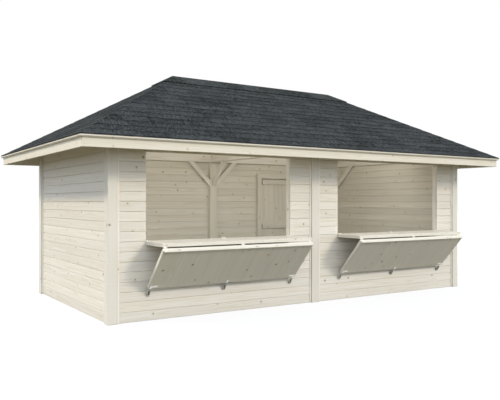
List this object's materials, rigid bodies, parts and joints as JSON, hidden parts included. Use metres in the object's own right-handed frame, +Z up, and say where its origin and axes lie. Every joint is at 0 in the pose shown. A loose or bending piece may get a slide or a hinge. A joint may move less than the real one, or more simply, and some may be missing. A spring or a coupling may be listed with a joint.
{
  "type": "wooden market stall",
  "caption": "Plank-walled wooden market stall with a shingled hip roof, serving openings with fold-down counter hatches along the front and a boarded door at the back",
  "frame": {"origin": "on the ground at the middle of the post frame in plan", "axes": "+X along the front to the right as seen from the front, +Y from front to back, +Z up"},
  "size_m": [6.841, 3.8807, 3.2002],
  "materials": {
    "planks": "planed",
    "frame_wood": "planed",
    "roof_wood": "planed",
    "hatch_boards": "planed",
    "shingles": "rough",
    "bright_steel": "satin",
    "dark_iron": "satin"
  },
  "bodies": {
    "stall": {"left_wall": "planks", "right_wall": "planks", "back_left_wall": "planks", "back_door_piers": "planks", "back_over_door": "planks", "front_left_dado": "planks", "front_left_piers": "planks", "front_left_lintel": "planks", "front_right_dado": "planks", "front_right_piers": "planks", "front_right_lintel": "planks", "front_posts": "frame_wood", "back_posts": "frame_wood", "long_beams": "frame_wood", "side_beams": "frame_wood", "tie_beam": "frame_wood", "back_braces": "frame_wood", "cross_braces": "frame_wood", "jamb_studs": "frame_wood", "sill_rails": "frame_wood", "corner_battens": "frame_wood", "door_posts": "frame_wood", "door_head": "frame_wood", "long_fascias": "frame_wood", "short_fascias": "frame_wood", "eave_lath": "frame_wood", "roof_front": "roof_wood", "roof_back": "roof_wood", "roof_left": "roof_wood", "roof_right": "roof_wood", "ridge_beam": "roof_wood", "hip_rafters": "roof_wood", "long_rafters": "roof_wood", "end_rafters": "roof_wood", "ridge_cap": "shingles", "sill_hinges": "bright_steel", "door_pintles": "dark_iron", "latch_keepers": "dark_iron"},
    "door": {"door_leaf": "planks", "door_ledges": "frame_wood", "door_straps": "dark_iron", "door_pull": "dark_iron"},
    "left_counter_leaf": {"left_counter": "hatch_boards", "left_counter_battens": "frame_wood", "left_counter_hinges": "bright_steel"},
    "left_panel_leaf": {"left_panel": "hatch_boards", "left_panel_battens": "frame_wood", "left_panel_hinges": "bright_steel", "left_latches": "bright_steel"},
    "right_counter_leaf": {"right_counter": "hatch_boards", "right_counter_battens": "frame_wood", "right_counter_hinges": "bright_steel"},
    "right_panel_leaf": {"right_panel": "hatch_boards", "right_panel_battens": "frame_wood", "right_panel_hinges": "bright_steel", "right_latches": "bright_steel"}
  },
  "joints": [
    {"name": "door_swing", "type": "hinge", "parent": "stall", "child": "door", "pos_m": [1.0005, 1.459, 0.9], "axis": [0, 0, 1], "range_deg": [0, 160]},
    {"name": "left_counter_lift", "type": "hinge", "parent": "stall", "child": "left_counter_leaf", "pos_m": [-1.456, -1.4525, 0.927], "axis": [-1, 0, 0], "range_deg": [0, 90]},
    {"name": "left_panel_fold", "type": "hinge", "parent": "left_counter_leaf", "child": "left_panel_leaf", "pos_m": [-1.456, -1.9075, 0.872], "axis": [-1, 0, 0], "range_deg": [0, 132]},
    {"name": "right_counter_lift", "type": "hinge", "parent": "stall", "child": "right_counter_leaf", "pos_m": [1.456, -1.4525, 0.927], "axis": [-1, 0, 0], "range_deg": [0, 90]},
    {"name": "right_panel_fold", "type": "hinge", "parent": "right_counter_leaf", "child": "right_panel_leaf", "pos_m": [1.456, -1.9075, 0.872], "axis": [-1, 0, 0], "range_deg": [0, 132]}
  ]
}
